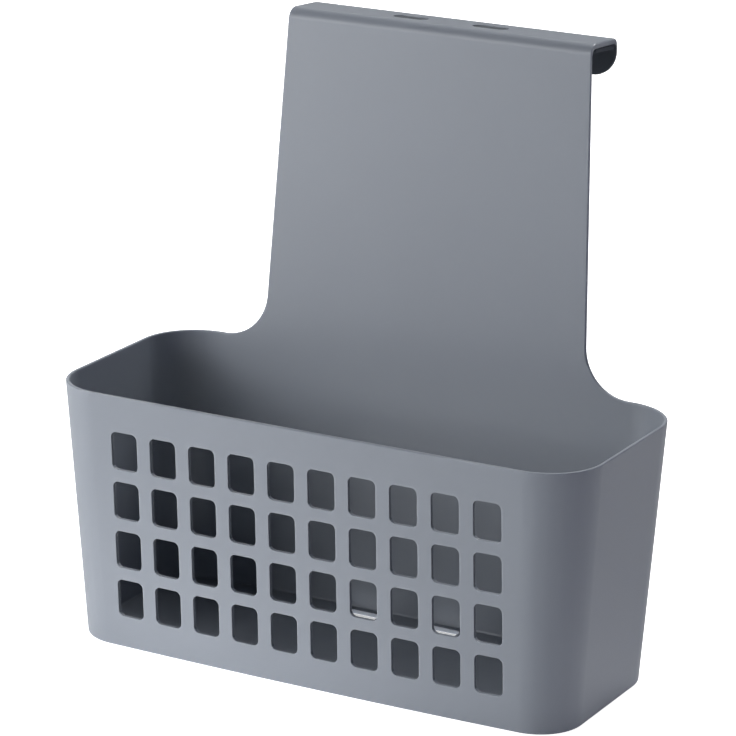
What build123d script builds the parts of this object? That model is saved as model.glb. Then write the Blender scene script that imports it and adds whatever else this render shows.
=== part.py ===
from build123d import *
import os
from math import atan2, cos, degrees, radians, sin, tan

# A kitchen sink caddy that hangs on a cupboard door: one moulded basket with a holed front, a tall
# leaning back plate and a door hook, a rubber liner plugged into the hook, and two rubber bumpers
# low on the back. Millimetres. X runs left to right, -Y is the front and +Z is up. The origin is
# the middle of the overall box, on the surface that the basket stands on.

# The basket
tub_width = 280.0
tub_depth = 117.7
tub_height = 128.0
wall = 2.0
floor_wall = 2.0
side_draft = 8.4
front_draft = 7.9
lean_degrees = 4.0
rim_front_radius = 27.5
rim_rear_radius = 28.4
base_front_radius = 22.3
base_rear_radius = 22.8
corner_parts = 6
rim_bow = 0.3
base_bow = 1.9
base_edge_radius = 1.2
floor_corner = 1.2
edge_break = 0.5
sharp_degrees = 60.0

# The grille in the front wall
grille_columns = 10
grille_rows = 4
grille_rib_width = 6.4
grille_rib_height = 5.8
grille_hole_radius = 3.0
grille_side_gap = 36.7
grille_rim_gap = 17.5
grille_base_gap = 16.1

# The drain slots in the floor, in front of the back wall
drain_width = 18.0
drain_length = 14.0
drain_radius = 2.5
drain_half_spacing = 22.0
drain_wall_gap = 3.4

# The back plate, which carries on the plane of the back wall up to the hook
overall_height = 292.6
shoulder_radius = 23.5
shoulder_flat = 0.6
plate_taper = 6.95
plate_root = 15.0

# The hook, whose gap takes the door's edge
door_gap = 24.0
bridge_wall = 2.8
lip_wall = 2.4
front_bend = 5.5
rear_bend = 3.0
lip_drop = 18.2
lip_corner_radius = 10.2

# The windows in the hook's bridge, which are slots with round ends
window_width = 18.4
window_length = 8.8
window_half_spacing = 21.3

# The rubber liner of the hook
liner_wall = 2.0
liner_proud = 1.15
liner_bend_gap = 0.4
liner_edge_break = 0.4
lug_clearance = 0.15
lug_sink = 0.4

# The rubber bumpers on the back wall
bumper_width = 32.0
bumper_height = 12.0
bumper_wall = 2.0
bumper_edge_break = 0.6
bumper_corner_gap = 7.0
bumper_base_gap = 14.8

# Every cut that goes right through runs past both faces by this much
overrun = 10.0

# The back plate's own directions: n runs back from its rear face, s runs up along it
lean = radians(lean_degrees)
foot_y = -tub_height * tan(lean)
plate_wall = wall * cos(lean)
hook_top_s = (overall_height - front_bend + (front_bend - plate_wall) * sin(lean)) / cos(lean) + front_bend
bridge_under_s = hook_top_s - bridge_wall
lip_bottom_z = overall_height - lip_drop
foot = Vector(0, foot_y, 0)
along_n = Vector(0, cos(lean), -sin(lean))
along_s = Vector(0, sin(lean), cos(lean))
side_plane = Plane(origin=foot, x_dir=along_n, z_dir=(1, 0, 0))
rear_plane = Plane(origin=foot, x_dir=(-1, 0, 0), z_dir=along_n)
hook_middle_y = (foot + along_n * (door_gap / 2) + along_s * hook_top_s).Y


def between(base_value, rim_value, height):
    """A size of the basket at one height, from its values at the base and at the rim."""
    return base_value + (rim_value - base_value) * height / tub_height


def corner_arcs(x, y, radius, start, sweep):
    """A round corner as a run of equal arcs, from one direction and through a sweep, in degrees."""
    step = sweep / corner_parts
    return [CenterArc((x, y), radius, start + part * step, step) for part in range(corner_parts)]


def tub_section(height, inset):
    """The basket's outline at one height, drawn in by the inset: round corners and a bowed front."""
    half = between(tub_width / 2 - side_draft, tub_width / 2, height) - inset
    back = between(foot_y, 0, height) - inset
    front = between(front_draft - tub_depth, -tub_depth, height) + inset
    front_radius = between(base_front_radius, rim_front_radius, height) - inset
    rear_radius = between(base_rear_radius, rim_rear_radius, height) - inset
    bow = between(base_bow, rim_bow, height)
    corner = Vector(half - front_radius, front + front_radius)
    nose = front_radius + bow
    bow_radius = (corner.X ** 2 + nose ** 2 - front_radius ** 2) / (2 * bow)
    bow_centre = Vector(0, front - bow + bow_radius)
    touch = corner + (corner - bow_centre).normalized() * front_radius
    turn = degrees(atan2(corner.Y - touch.Y, touch.X - corner.X))
    rear = Vector(half - rear_radius, back - rear_radius)
    edges = [
        Line((half, corner.Y), (half, rear.Y)),
        *corner_arcs(rear.X, rear.Y, rear_radius, 0, 90),
        Line((rear.X, back), (-rear.X, back)),
        *corner_arcs(-rear.X, rear.Y, rear_radius, 90, 90),
        Line((-half, rear.Y), (-half, corner.Y)),
        *corner_arcs(-corner.X, corner.Y, front_radius, 180, turn),
        ThreePointArc((-touch.X, touch.Y), (0, front - bow), (touch.X, touch.Y)),
        *corner_arcs(corner.X, corner.Y, front_radius, -turn, turn),
    ]
    return Pos(0, 0, height) * make_face(edges)


def tub():
    """The open basket: a tapered shell with round corners and a rounded edge round its base."""
    outside = loft([tub_section(0, 0), tub_section(tub_height, 0)], ruled=True)
    outside = fillet(outside.faces().sort_by(Axis.Z)[0].edges(), base_edge_radius)
    inside = loft([tub_section(floor_wall, wall), tub_section(tub_height + overrun, wall)], ruled=True)
    inside = chamfer(inside.faces().sort_by(Axis.Z)[0].edges(), floor_corner)
    return outside - inside


def plate_half(height):
    """Half the back plate's width at one height."""
    rim_half = tub_width / 2 - rim_rear_radius - shoulder_flat - shoulder_radius
    return rim_half - plate_taper * (height - tub_height) / (overall_height - tub_height)


def mirrored(right):
    """A closed outline from the points of its right half, from the bottom to the top."""
    left = [(-x, z) for x, z in reversed(right)]
    return Polygon(*right, *left, align=None)


def rounded(outline, point, radius):
    """A mirrored outline with the corner at one point, and the corner opposite, rounded."""
    x, z = point
    corners = [outline.vertices().sort_by_distance((side * x, z, 0))[0] for side in (-1, 1)]
    return fillet(corners, radius)


def plate_outline():
    """The plate seen from the front, with shoulders that flare out into the rim."""
    top = overall_height + overrun
    root = tub_height - plate_root
    shoulder = plate_half(tub_height)
    flat = tub_width / 2 - rim_rear_radius
    outline = mirrored([(shoulder, root), (flat, tub_height), (shoulder, tub_height), (plate_half(top), top)])
    return rounded(outline, (shoulder, tub_height), shoulder_radius)


def lip_outline():
    """The lip seen from the front: as wide as the plate, with its two lower corners well rounded."""
    top = overall_height + overrun
    corner = (plate_half(lip_bottom_z), lip_bottom_z)
    outline = mirrored([corner, (plate_half(top), top)])
    return rounded(outline, corner, lip_corner_radius)


def through(outline, start_y, end_y):
    """A front-view outline made solid from one depth to another."""
    return extrude(Plane.XZ.offset(-start_y) * outline, -(end_y - start_y))


def cross_strip(points, bends=()):
    """A strip of constant section across the object, from its points in n and s and any bends."""
    profile = Polygon(*points, align=None)
    for point, radius in bends:
        profile = fillet(profile.vertices().sort_by_distance((*point, 0))[0], radius)
    return extrude(side_plane * profile, tub_width / 2, both=True)


def back():
    """The plate and its hook, bent from one wall and trimmed to their front-view outlines."""
    low_s = tub_height - plate_root - overrun
    outer = [(-plate_wall, low_s), (-plate_wall, hook_top_s), (door_gap + lip_wall, hook_top_s)]
    lip = [(door_gap + lip_wall, lip_bottom_z - overrun), (door_gap, lip_bottom_z - overrun)]
    inner = [(door_gap, bridge_under_s), (0, bridge_under_s), (0, low_s)]
    bends = [(outer[1], front_bend), (outer[2], rear_bend), (inner[1], front_bend - wall)]
    strip = cross_strip([*outer, *lip, *inner], bends)
    front_trim = through(plate_outline(), -tub_depth, hook_middle_y)
    rear_trim = through(lip_outline(), hook_middle_y, tub_depth)
    return strip & (front_trim + rear_trim)


def sharp_edges(body):
    """The edges where two faces meet at a clear angle."""
    faces_at = {}
    for face in body.faces():
        for edge in face.edges():
            faces_at.setdefault(edge, []).append(face)
    found = ShapeList()
    for edge, faces in faces_at.items():
        if len(faces) != 2:
            continue
        middle = edge @ 0.5
        first, second = (face.normal_at(middle) for face in faces)
        if first.get_angle(second) > sharp_degrees:
            found.append(edge)
    return found


def grille_holes():
    """The grid of round-cornered holes through the front wall."""
    width = tub_width - 2 * grille_side_gap
    height = tub_height - grille_rim_gap - grille_base_gap
    pitch_x = (width + grille_rib_width) / grille_columns
    pitch_z = (height + grille_rib_height) / grille_rows
    hole = RectangleRounded(pitch_x - grille_rib_width, pitch_z - grille_rib_height, grille_hole_radius)
    middle = Plane.XZ.offset(tub_depth / 2) * Pos(0, grille_base_gap + height / 2)
    grid = GridLocations(pitch_x, pitch_z, grille_columns, grille_rows)
    return extrude(Sketch() + [middle * spot * hole for spot in grid], tub_depth / 2 + overrun)


def windows(margin, top_s, depth):
    """Two round-ended blocks at the windows, drawn in by a margin, down from a level on the plate."""
    hole = SlotOverall(window_width - 2 * margin, window_length - 2 * margin)
    level = Plane(origin=foot + along_s * top_s, x_dir=(1, 0, 0), z_dir=along_s)
    spots = [level * Pos(side * window_half_spacing, door_gap / 2) for side in (-1, 1)]
    return extrude(Sketch() + [spot * hole for spot in spots], -depth)


def drains():
    """Two round-cornered slots through the floor."""
    slot = RectangleRounded(drain_width, drain_length, drain_radius)
    middle_y = foot_y - wall - drain_wall_gap - drain_length / 2
    spots = [Pos(side * drain_half_spacing, middle_y, -overrun) for side in (-1, 1)]
    return extrude(Sketch() + [spot * slot for spot in spots], floor_wall + 2 * overrun)


def caddy_shell():
    """The one moulding: basket, plate and hook, with its edges broken and its openings cut."""
    body = tub() + back()
    body = chamfer(sharp_edges(body), edge_break)
    return body - grille_holes() - windows(0, hook_top_s + overrun, 2 * overrun) - drains()


def hook_liner():
    """A rubber angle under the bridge and down the lip, with a lug that plugs each window."""
    front_n = front_bend - wall + liner_bend_gap
    inner_n = door_gap - liner_wall
    under_s = bridge_under_s - liner_wall
    low_s = lip_bottom_z - overrun
    cut = edge_break + lug_clearance
    corner = [(door_gap, bridge_under_s - cut), (door_gap - cut, bridge_under_s)]
    leg = cross_strip([(front_n, under_s), (door_gap, under_s), *corner, (front_n, bridge_under_s)])
    pad = cross_strip([(inner_n, low_s), (door_gap, low_s), *corner, (inner_n, bridge_under_s)])
    leg &= through(plate_outline(), -tub_depth, tub_depth)
    pad &= through(offset(lip_outline(), liner_proud), -tub_depth, tub_depth)
    angle = leg + pad
    angle = chamfer(sharp_edges(angle), liner_edge_break)
    lugs = windows(lug_clearance, hook_top_s - lug_sink, bridge_wall - lug_sink)
    return angle + lugs


def bumper(side):
    """One flat rubber bumper with round ends, stuck low on the back wall."""
    flat_half = tub_width / 2 - side_draft - base_rear_radius
    middle_x = flat_half - bumper_corner_gap - bumper_width / 2
    middle_s = base_edge_radius + bumper_base_gap + bumper_height / 2
    spot = rear_plane * Pos(-side * middle_x, middle_s)
    pad = extrude(spot * SlotOverall(bumper_width, bumper_height), bumper_wall)
    rim = pad.faces().sort_by(lambda face: (face.center() - foot).dot(along_n))[-1].edges()
    return chamfer(rim, bumper_edge_break)


parts = {
    "caddy_shell": caddy_shell(),
    "hook_liner": hook_liner(),
    "lower_bumper_left": bumper(-1),
    "lower_bumper_right": bumper(1),
}
box = parts["caddy_shell"].bounding_box()
for part in parts.values():
    box = box.add(part.bounding_box())
to_origin = Pos(-box.center().X, -box.center().Y, -box.min.Z)
os.makedirs("parts", exist_ok=True)
for name, part in parts.items():
    export_step(to_origin * part, f"parts/{name}.step")
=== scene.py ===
from math import pi, radians

import bmesh
import bpy
from mathutils import Matrix, Vector


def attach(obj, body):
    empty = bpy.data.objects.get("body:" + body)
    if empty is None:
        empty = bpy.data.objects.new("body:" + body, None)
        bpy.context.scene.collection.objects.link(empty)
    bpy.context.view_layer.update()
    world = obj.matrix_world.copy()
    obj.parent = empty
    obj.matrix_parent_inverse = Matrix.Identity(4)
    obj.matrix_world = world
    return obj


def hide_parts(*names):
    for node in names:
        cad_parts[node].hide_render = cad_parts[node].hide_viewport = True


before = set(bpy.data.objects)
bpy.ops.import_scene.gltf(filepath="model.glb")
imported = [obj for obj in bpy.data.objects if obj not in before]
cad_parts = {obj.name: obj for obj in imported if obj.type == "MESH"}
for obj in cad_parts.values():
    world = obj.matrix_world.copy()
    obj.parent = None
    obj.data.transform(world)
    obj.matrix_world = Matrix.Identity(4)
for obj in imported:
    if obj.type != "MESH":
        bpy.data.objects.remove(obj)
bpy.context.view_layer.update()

# The moulded caddy: basket, back plate and hook in one shot of grey polypropylene, which leaves the
# mould with a fine satin grain and a cloudy tone. Its faces are merged here, so that the light runs
# Every sharp edge gets a small break, and the holes' walls are darkened by painted shade.
shell_grey = (0.262, 0.287, 0.330, 1)
shell_smooth_angle = radians(32)
shell_light_share = 0.5
shell_light_depth = 0.003
same_point = 1e-6
flat_angle = radians(0.3)
edge_break = 0.00035
edge_break_angle = radians(70)
grille_front = -0.06
grille_half_width = 0.115
grille_heights = (0.008, 0.118)
grille_hole_shrink = (0.9615, 0.99, 0.99)
hole_wall_mark = "hole_wall"
hole_wall_turn = 0.5
# The painted shade on the walls inside the grille's holes: their grey is halved.
hole_wall_painted_shade = (0.5, 0.5, 0.5, 1)


def in_grille(vert):
    """Whether a point lies in the part of the front wall that has the holes."""
    return (vert.co.y < grille_front and abs(vert.co.x) < grille_half_width
            and grille_heights[0] < vert.co.z < grille_heights[1])


def shrink_grille_holes(skin, edges):
    """Draw each hole of the grille in a little round its own middle, on both faces of the wall."""
    ring_edges = {edge for edge in edges if all(in_grille(end) for end in edge.verts)}
    waiting = {vert for edge in ring_edges for vert in edge.verts}
    while waiting:
        ring, found = set(), [waiting.pop()]
        while found:
            vert = found.pop()
            ring.add(vert)
            for edge in vert.link_edges:
                other = edge.other_vert(vert)
                if edge in ring_edges and other in waiting:
                    waiting.discard(other)
                    found.append(other)
        low = Vector(min(vert.co[axis] for vert in ring) for axis in range(3))
        high = Vector(max(vert.co[axis] for vert in ring) for axis in range(3))
        bmesh.ops.scale(skin, vec=grille_hole_shrink, verts=list(ring),
                        space=Matrix.Translation(-(low + high) / 2))


def mark_hole_walls(skin):
    """Mark the sides and tops inside the grille's holes, which stand square to the front wall, for
    painted shade.
    """
    mark = skin.faces.layers.float.new(hole_wall_mark)
    for face in skin.faces:
        inside = all(in_grille(vert) for vert in face.verts)
        square = abs(face.normal.y) < hole_wall_turn and face.normal.z < hole_wall_turn
        face[mark] = float(inside and square)


def merged_copy(node, name, has_grille=False):
    """A new piece with a CAD node's shape, its triangles joined into flat and curved faces."""
    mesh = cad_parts[node].data.copy()
    mesh.name = name
    skin = bmesh.new()
    skin.from_mesh(mesh)
    bmesh.ops.remove_doubles(skin, verts=skin.verts, dist=same_point)
    bmesh.ops.dissolve_limit(skin, angle_limit=flat_angle, verts=skin.verts, edges=skin.edges)
    sharp_edges = [edge for edge in skin.edges if edge.calc_face_angle(0) > edge_break_angle]
    if has_grille:
        shrink_grille_holes(skin, sharp_edges)
    bmesh.ops.bevel(skin, geom=sharp_edges, offset=edge_break, affect="EDGES", segments=2,
                    profile=0.5, material=-1, clamp_overlap=True)
    if has_grille:
        mark_hole_walls(skin)
    for face in skin.faces:
        face.smooth = True
    skin.to_mesh(mesh)
    skin.free()
    mesh.materials.clear()
    piece = bpy.data.objects.new(name, mesh)
    bpy.context.scene.collection.objects.link(piece)
    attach(piece, "root")
    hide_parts(node)
    return piece


def moulded_surface_group():
    """The look that moulded plastic and rubber share: a fine grain, and a slow drift of tone."""
    shine_drift = 0.35
    noise_middle = 0.5
    cloud_detail, grain_detail = 3, 2
    group = bpy.data.node_groups.new("moulded_surface", "ShaderNodeTree")
    group.interface.new_socket("Tone", in_out="INPUT", socket_type="NodeSocketColor")
    for name in ("Drift", "Drift Scale", "Grain Scale", "Grain Depth", "Roughness"):
        group.interface.new_socket(name, in_out="INPUT", socket_type="NodeSocketFloat")
    group.interface.new_socket("Color", in_out="OUTPUT", socket_type="NodeSocketColor")
    group.interface.new_socket("Roughness", in_out="OUTPUT", socket_type="NodeSocketFloat")
    group.interface.new_socket("Normal", in_out="OUTPUT", socket_type="NodeSocketVector")
    nodes, links = group.nodes, group.links
    given, put = nodes.new("NodeGroupInput"), nodes.new("NodeGroupOutput")
    place = nodes.new("ShaderNodeTexCoord")

    cloud = nodes.new("ShaderNodeTexNoise")
    cloud.inputs["Detail"].default_value = cloud_detail
    links.new(place.outputs["Object"], cloud.inputs["Vector"])
    links.new(given.outputs["Drift Scale"], cloud.inputs["Scale"])
    centred = nodes.new("ShaderNodeMath")
    centred.operation = "SUBTRACT"
    centred.inputs[1].default_value = noise_middle
    links.new(cloud.outputs["Fac"], centred.inputs[0])
    swing = nodes.new("ShaderNodeMath")
    swing.operation = "MULTIPLY"
    links.new(centred.outputs[0], swing.inputs[0])
    links.new(given.outputs["Drift"], swing.inputs[1])
    value = nodes.new("ShaderNodeMath")
    value.operation = "ADD"
    value.inputs[1].default_value = 1
    links.new(swing.outputs[0], value.inputs[0])
    tint = nodes.new("ShaderNodeHueSaturation")
    links.new(given.outputs["Tone"], tint.inputs["Color"])
    links.new(value.outputs[0], tint.inputs["Value"])
    links.new(tint.outputs["Color"], put.inputs["Color"])

    rough = nodes.new("ShaderNodeMath")
    rough.operation = "MULTIPLY_ADD"
    rough.inputs[1].default_value = shine_drift
    links.new(swing.outputs[0], rough.inputs[0])
    links.new(given.outputs["Roughness"], rough.inputs[2])
    links.new(rough.outputs[0], put.inputs["Roughness"])

    grain = nodes.new("ShaderNodeTexNoise")
    grain.inputs["Detail"].default_value = grain_detail
    links.new(place.outputs["Object"], grain.inputs["Vector"])
    links.new(given.outputs["Grain Scale"], grain.inputs["Scale"])
    bump = nodes.new("ShaderNodeBump")
    bump.inputs["Strength"].default_value = 1
    links.new(given.outputs["Grain Depth"], bump.inputs["Distance"])
    links.new(grain.outputs["Fac"], bump.inputs["Height"])
    links.new(bump.outputs["Normal"], put.inputs["Normal"])
    return group


moulded_surface = moulded_surface_group()


def moulded_material(name, tone, roughness, gloss, drift, drift_scale, grain_scale, grain_depth):
    """A material of one tone and gloss, with the moulded surface's grain and drift."""
    material = bpy.data.materials.new(name)
    material.use_nodes = True
    nodes, links = material.node_tree.nodes, material.node_tree.links
    surface = nodes.new("ShaderNodeGroup")
    surface.node_tree = moulded_surface
    surface.inputs["Tone"].default_value = tone
    surface.inputs["Drift"].default_value = drift
    surface.inputs["Drift Scale"].default_value = drift_scale
    surface.inputs["Grain Scale"].default_value = grain_scale
    surface.inputs["Grain Depth"].default_value = grain_depth
    surface.inputs["Roughness"].default_value = roughness
    shader = nodes["Principled BSDF"]
    shader.inputs["Specular IOR Level"].default_value = gloss
    links.new(surface.outputs["Color"], shader.inputs["Base Color"])
    links.new(surface.outputs["Roughness"], shader.inputs["Roughness"])
    links.new(surface.outputs["Normal"], shader.inputs["Normal"])
    return material


shell_plastic = moulded_material("satin_grey_plastic", shell_grey, roughness=0.42, gloss=0.5,
                                 drift=0.06, drift_scale=14,
                                 grain_scale=1900, grain_depth=0.00002)
shell_nodes, shell_links = shell_plastic.node_tree.nodes, shell_plastic.node_tree.links
shell_shader = shell_nodes["Principled BSDF"]
open_grey = shell_shader.inputs["Base Color"].links[0].from_socket
# Painted shade: the walls inside the grille's holes get half their grey, for the shade that falls
# in them.
hole_wall = shell_nodes.new("ShaderNodeAttribute")
hole_wall.attribute_name = hole_wall_mark
shaded_grey = shell_nodes.new("ShaderNodeMix")
shaded_grey.data_type, shaded_grey.blend_type = "RGBA", "MULTIPLY"
shaded_from, shaded_by = (socket for socket in shaded_grey.inputs if socket.type == "RGBA")
shaded_by.default_value = hole_wall_painted_shade
shaded_result, = (socket for socket in shaded_grey.outputs if socket.type == "RGBA")
shell_links.new(hole_wall.outputs["Fac"], shaded_grey.inputs["Factor"])
shell_links.new(open_grey, shaded_from)
shell_links.new(shaded_result, shell_shader.inputs["Base Color"])
shell_shader.inputs["Subsurface Weight"].default_value = shell_light_share
shell_shader.inputs["Subsurface Radius"].default_value = (1, 1, 1)
shell_shader.inputs["Subsurface Scale"].default_value = shell_light_depth
shell = merged_copy("caddy_shell", "moulded_caddy", has_grille=True)
shell.data.materials.append(shell_plastic)
shell.data.set_sharp_from_angle(angle=shell_smooth_angle)
even = shell.modifiers.new("even_light", "WEIGHTED_NORMAL")
even.keep_sharp = True
even.weight = 100

# The hook's liner: a dark rubber angle under the bridge and down the lip, moulded in one piece with
# two lugs that are pushed up into the bridge's windows to hold it.
liner_dark = (0.108, 0.120, 0.133, 1)
liner_rubber = moulded_material("dark_liner_rubber", liner_dark, roughness=0.8, gloss=0.05,
                                drift=0.12, drift_scale=40,
                                grain_scale=1400, grain_depth=0.00004)
liner = merged_copy("hook_liner", "rubber_hook_liner")
liner.data.materials.append(liner_rubber)
liner.data.set_sharp_from_angle(angle=shell_smooth_angle)

# The two bumpers: flat rubber pads with round ends, stuck low on the back wall, which keep the
# basket off the door that it hangs on.
bumper_dark = liner_dark
bumper_rubber = moulded_material("dark_bumper_rubber", bumper_dark, roughness=0.8, gloss=0.25,
                                 drift=0.12, drift_scale=40,
                                 grain_scale=1400, grain_depth=0.00004)
for side in ("left", "right"):
    bumper = merged_copy(f"lower_bumper_{side}", f"rubber_bumper_{side}")
    bumper.data.materials.append(bumper_rubber)
    bumper.data.set_sharp_from_angle(angle=shell_smooth_angle)

# The floor: a wide pale sheet. It reads as white to the camera, as an overlit studio floor does,
# and as a painted shadow grey under the drain slots. For all rays but the camera's it glows, a
# painted bounce light, in three pools in front, on the left and on the right of the basket, and
# under the slots.
floor_half = 6.0
floor_tone = (0.86, 0.86, 0.86, 1)
floor_roughness = 0.9
floor_white = 1.0
slots_shadow_grey = 0.44
slots_glow = 1.1
floor_mesh = bpy.data.meshes.new("studio_floor")
floor_skin = bmesh.new()
bmesh.ops.create_grid(floor_skin, x_segments=1, y_segments=1, size=floor_half)
floor_skin.to_mesh(floor_mesh)
floor_skin.free()
floor = bpy.data.objects.new("studio_floor", floor_mesh)
bpy.context.scene.collection.objects.link(floor)
floor_paint = bpy.data.materials.new("pale_studio_floor")
floor_paint.use_nodes = True
floor_nodes, floor_links = floor_paint.node_tree.nodes, floor_paint.node_tree.links
floor_shader = floor_nodes["Principled BSDF"]
floor_shader.inputs["Base Color"].default_value = floor_tone
floor_shader.inputs["Roughness"].default_value = floor_roughness
floor_shader.inputs["Specular IOR Level"].default_value = 0
floor_shader.inputs["Emission Color"].default_value = (1, 1, 1, 1)
floor_place = floor_nodes.new("ShaderNodeTexCoord")


def fading_spot(middle, stretch, reach, inner, outer):
    """A value that fades from inner to outer round a spot, which may be stretched along X."""
    squeeze = floor_nodes.new("ShaderNodeMapping")
    squeeze.inputs["Location"].default_value = (-middle[0] / stretch, -middle[1], 0)
    squeeze.inputs["Scale"].default_value = (1 / stretch, 1, 1)
    floor_links.new(floor_place.outputs["Object"], squeeze.inputs["Vector"])
    away = floor_nodes.new("ShaderNodeVectorMath")
    away.operation = "LENGTH"
    floor_links.new(squeeze.outputs["Vector"], away.inputs[0])
    fade = floor_nodes.new("ShaderNodeMapRange")
    fade.interpolation_type = "SMOOTHSTEP"
    fade.inputs["From Min"].default_value, fade.inputs["From Max"].default_value = reach
    fade.inputs["To Min"].default_value, fade.inputs["To Max"].default_value = inner, outer
    floor_links.new(away.outputs["Value"], fade.inputs["Value"])
    return fade.outputs["Result"]


def both(first, second):
    """The sum of two floor values."""
    plus = floor_nodes.new("ShaderNodeMath")
    plus.operation = "ADD"
    floor_links.new(first, plus.inputs[0])
    floor_links.new(second, plus.inputs[1])
    return plus.outputs["Value"]


# Painted bounce light: the floor glows in these pools for every ray but the camera's.
front_pool = fading_spot(middle=(-0.03, -0.11), stretch=2.1, reach=(0.02, 0.10), inner=0.8, outer=0)
left_pool = fading_spot(middle=(-0.13, -0.20), stretch=1, reach=(0.03, 0.20), inner=0.6, outer=0)
right_pool = fading_spot(middle=(0.18, -0.03), stretch=1, reach=(0.02, 0.14), inner=0.2, outer=0)
pools = both(both(front_pool, left_pool), right_pool)
# Under the slots the camera sees a painted shadow grey, and other rays a painted glow that lights
# the back wall through the slots.
off_slots = fading_spot(middle=(0.0, 0.006), stretch=4, reach=(0.024, 0.030), inner=0, outer=1)
painted_floor_glow = floor_nodes.new("ShaderNodeMix")
painted_floor_glow.inputs["A"].default_value = slots_glow
floor_links.new(off_slots, painted_floor_glow.inputs["Factor"])
floor_links.new(pools, painted_floor_glow.inputs["B"])
shown = floor_nodes.new("ShaderNodeMix")
shown.inputs["A"].default_value, shown.inputs["B"].default_value = slots_shadow_grey, floor_white
floor_links.new(off_slots, shown.inputs["Factor"])
floor_seen = floor_nodes.new("ShaderNodeLightPath")
floor_light = floor_nodes.new("ShaderNodeMix")
floor_links.new(floor_seen.outputs["Is Camera Ray"], floor_light.inputs["Factor"])
floor_links.new(painted_floor_glow.outputs["Result"], floor_light.inputs["A"])
floor_links.new(shown.outputs["Result"], floor_light.inputs["B"])
floor_links.new(floor_light.outputs["Result"], floor_shader.inputs["Emission Strength"])
floor_mesh.materials.append(floor_paint)

# The light: two soft boxes in front on the left, one of them low, so that the front and the plate
# darken towards the right. Three behind catch the hook's top and the right side, and a faint cool
# one low on the right gives that side its bluish tone.
aim_middle = (0, 0, 0.15)
aim_side = (0.1, 0, 0.07)
cool_tint = (0.4, 0.37, 1.0)
room_glow = 0.005
room_white = 1


def soft_box(name, place, aim, size, watts, tint=(1, 1, 1)):
    """An area light at one place, turned towards another."""
    data = bpy.data.lights.new(name, "AREA")
    data.shape = "RECTANGLE"
    data.size, data.size_y = size
    data.energy = watts
    data.color = tint
    box = bpy.data.objects.new(name, data)
    box.location = place
    box.rotation_mode = "QUATERNION"
    box.rotation_quaternion = (Vector(aim) - Vector(place)).to_track_quat("-Z", "Y")
    bpy.context.scene.collection.objects.link(box)


soft_box("front_light", (-0.953, -2.044, 0.971), aim_middle, size=(1.0, 1.0), watts=17.9)
soft_box("low_light", (-0.839, -0.704, 0.3), aim_middle, size=(0.7, 0.7), watts=6.8)
soft_box("back_left_light", (-1.595, 1.595, 0.971), aim_middle, size=(1.0, 1.0), watts=5.2)
soft_box("high_light", (0.239, 0.658, 1.362), aim_middle, size=(0.9, 0.9), watts=5.5)
soft_box("top_light", (0.0, 1.543, 1.989), aim_middle, size=(1.0, 1.0), watts=36.6)
soft_box("cool_side_light", (1.5, -0.3, 0.08), aim_side, size=(0.5, 0.3), watts=1.3, tint=cool_tint)
room = bpy.data.worlds.new("pale_room")
room.use_nodes = True
room_nodes, room_links = room.node_tree.nodes, room.node_tree.links
room_light = room_nodes["Background"]
room_light.inputs["Color"].default_value = (1, 1, 1, 1)
room_light.inputs["Strength"].default_value = room_glow
room_view = room_nodes.new("ShaderNodeBackground")
room_view.inputs["Color"].default_value = (1, 1, 1, 1)
room_view.inputs["Strength"].default_value = room_white
seen = room_nodes.new("ShaderNodeLightPath")
choice = room_nodes.new("ShaderNodeMixShader")
room_links.new(seen.outputs["Is Camera Ray"], choice.inputs["Fac"])
room_links.new(room_light.outputs[0], choice.inputs[1])
room_links.new(room_view.outputs[0], choice.inputs[2])
room_links.new(choice.outputs[0], room_nodes["World Output"].inputs["Surface"])
bpy.context.scene.world = room
bpy.context.scene.view_settings.view_transform = "Standard"

# The camera: a long lens in front, to the right and a little above. It is held with a slight roll,
# as the one that took the picture was.
camera_azimuth = radians(28.9175)
camera_elevation = radians(17.1151)
camera_roll = radians(0.6005)
camera_distance = 1.816909
camera_aim = Vector((-0.019607, 0.021592, 0.128623))
camera_sensor, camera_lens = 36, 185.37
camera_near, camera_far = 0.05, 50
camera_data = bpy.data.cameras.new("studio_camera")
camera_data.sensor_width = camera_sensor
camera_data.lens = camera_lens
camera_data.clip_start, camera_data.clip_end = camera_near, camera_far
camera = bpy.data.objects.new("studio_camera", camera_data)
turn = (Matrix.Rotation(camera_azimuth, 3, "Z") @ Matrix.Rotation(pi / 2 - camera_elevation, 3, "X")
        @ Matrix.Rotation(camera_roll, 3, "Z"))
camera.rotation_mode = "QUATERNION"
camera.rotation_quaternion = turn.to_quaternion()
camera.location = camera_aim + turn.col[2] * camera_distance
bpy.context.scene.collection.objects.link(camera)
bpy.context.scene.camera = camera
